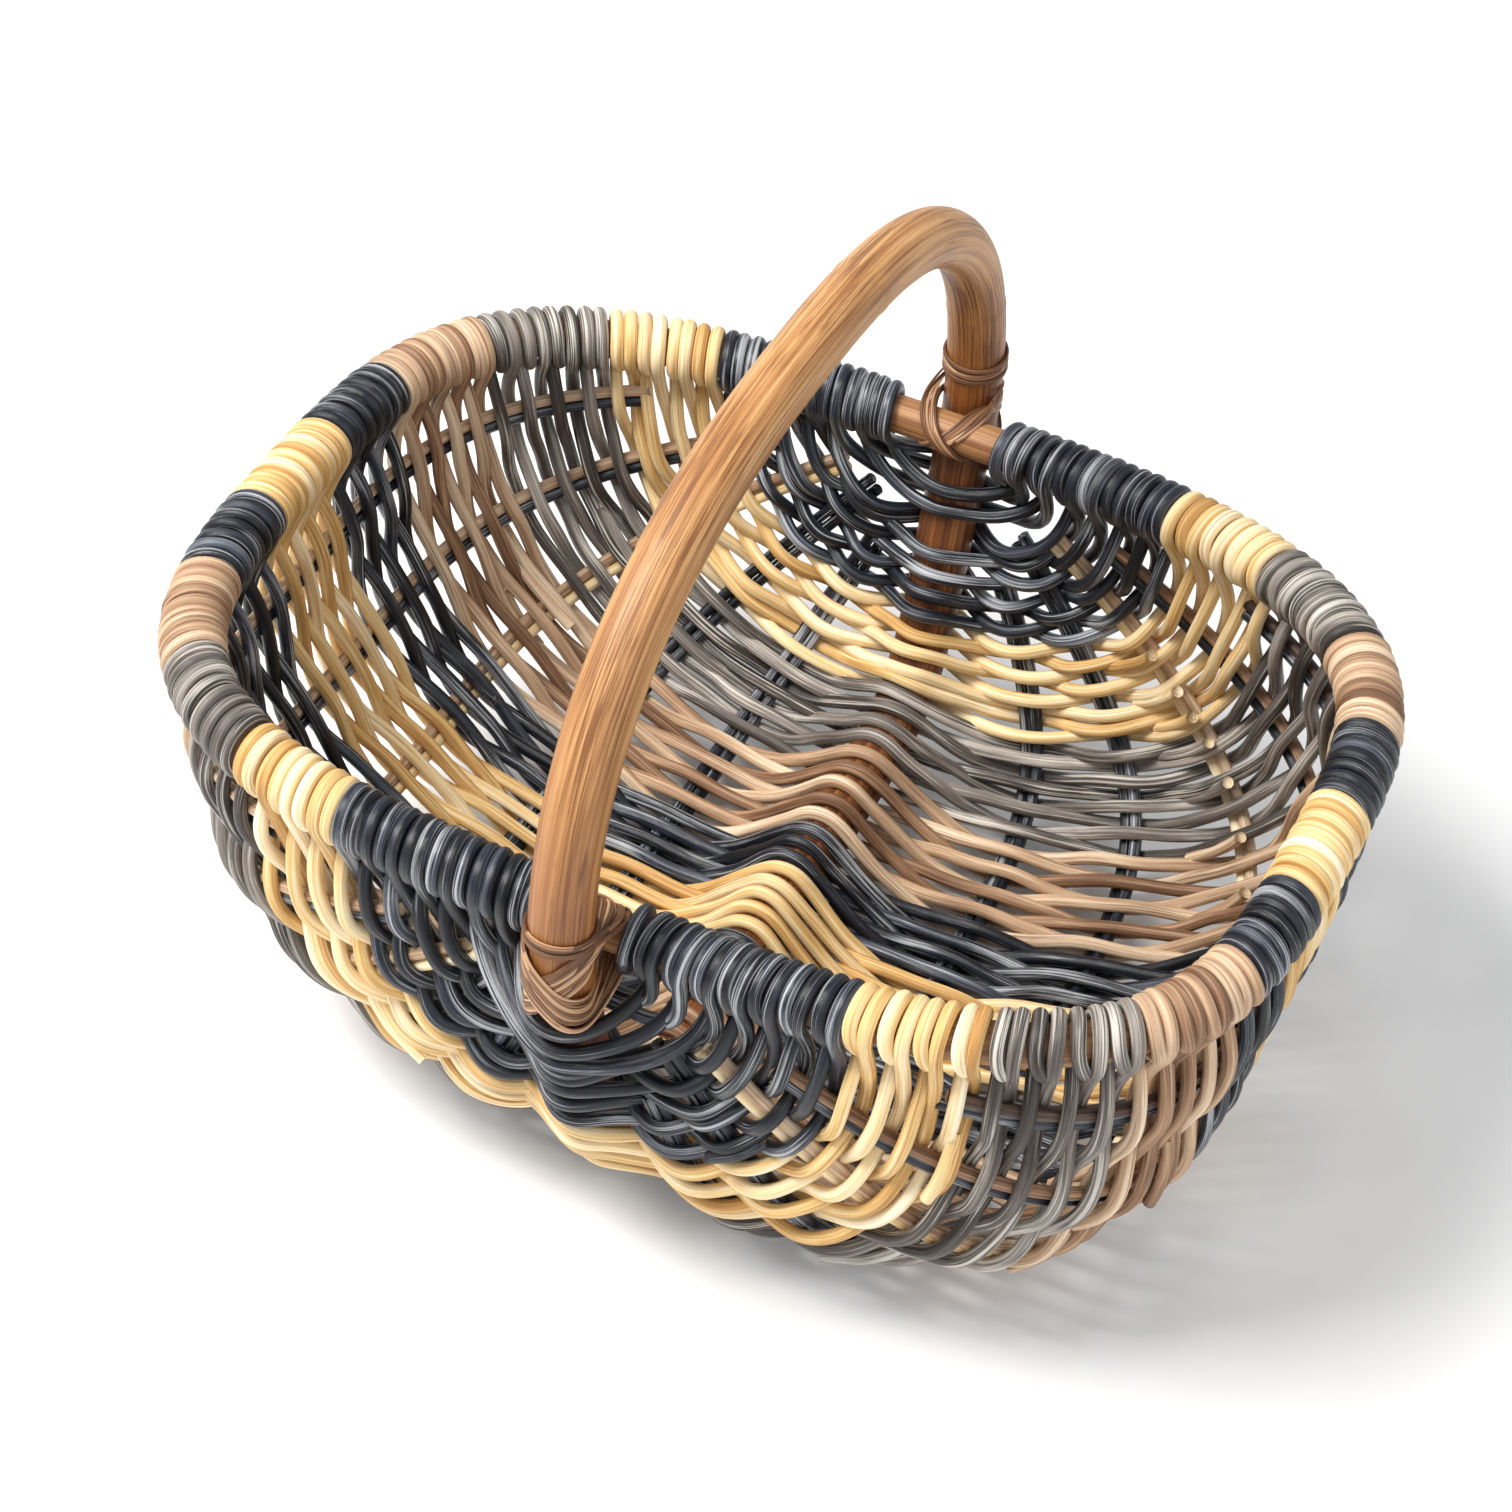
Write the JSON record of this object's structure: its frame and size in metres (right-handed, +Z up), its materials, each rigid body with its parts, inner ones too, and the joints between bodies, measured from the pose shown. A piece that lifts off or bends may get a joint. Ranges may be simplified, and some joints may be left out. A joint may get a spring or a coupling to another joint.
{
  "type": "woven market basket",
  "caption": "Oval rib-built market basket: round rod weave in coloured bands over ribs, a wrapped rim hoop and a fixed cane hoop handle.",
  "frame": {"origin": "on the surface the basket stands on, under the middle of its outer box", "axes": "+X along the basket's long side, +Y across it in the plane of the handle hoop, +Z up"},
  "size_m": [0.5042, 0.428, 0.3666],
  "materials": {
    "cane_handle": "satin",
    "rim_cane": "matte",
    "split_cane": "satin",
    "rod_pale": "matte",
    "rod_dark": "satin",
    "weave_black": "satin",
    "weave_buff": "matte",
    "weave_grey": "matte",
    "weave_brown": "matte"
  },
  "bodies": {
    "root": {"handle_hoop": "cane_handle", "lashing_coils_back": "split_cane", "lashing_coils_front": "split_cane", "lashing_cross_back": "split_cane", "lashing_cross_front": "split_cane", "rib_1_lower_left": "rod_dark", "rib_1_lower_right": "rod_dark", "rib_1_upper_left": "rod_pale", "rib_1_upper_right": "rod_pale", "rib_2_lower_left": "rod_dark", "rib_2_lower_right": "rod_dark", "rib_2_upper_left": "rod_pale", "rib_2_upper_right": "rod_pale", "rib_3_lower_left": "rod_dark", "rib_3_lower_right": "rod_dark", "rib_3_upper_left": "rod_pale", "rib_3_upper_right": "rod_pale", "rib_4_lower_left": "rod_dark", "rib_4_lower_right": "rod_dark", "rib_4_upper_left": "rod_dark", "rib_4_upper_right": "rod_dark", "rib_5_lower_left": "rod_dark", "rib_5_lower_right": "rod_dark", "rib_5_upper_left": "rod_dark", "rib_5_upper_right": "rod_dark", "rim_hoop": "rim_cane", "rim_wrap_black_ear_back": "weave_black", "rim_wrap_black_ear_front": "weave_black", "rim_wrap_black_mid_back": "weave_black", "rim_wrap_black_mid_front": "weave_black", "rim_wrap_brown_back": "weave_brown", "rim_wrap_brown_front": "weave_brown", "rim_wrap_buff_back": "weave_buff", "rim_wrap_buff_front": "weave_buff", "rim_wrap_buff_middle": "weave_buff", "rim_wrap_grey_back": "weave_grey", "rim_wrap_grey_front": "weave_grey", "weave_inner_black_ear_back": "weave_black", "weave_inner_black_ear_front": "weave_black", "weave_inner_black_mid_back": "weave_black", "weave_inner_black_mid_front": "weave_black", "weave_inner_brown_back": "weave_brown", "weave_inner_brown_front": "weave_brown", "weave_inner_buff_back": "weave_buff", "weave_inner_buff_front": "weave_buff", "weave_inner_buff_middle": "weave_buff", "weave_inner_grey_back": "weave_grey", "weave_inner_grey_front": "weave_grey", "weave_outer_black_ear_back": "weave_black", "weave_outer_black_ear_front": "weave_black", "weave_outer_black_mid_back": "weave_black", "weave_outer_black_mid_front": "weave_black", "weave_outer_brown_back": "weave_brown", "weave_outer_brown_front": "weave_brown", "weave_outer_buff_back": "weave_buff", "weave_outer_buff_front": "weave_buff", "weave_outer_buff_middle": "weave_buff", "weave_outer_grey_back": "weave_grey", "weave_outer_grey_front": "weave_grey"}
  },
  "joints": []
}
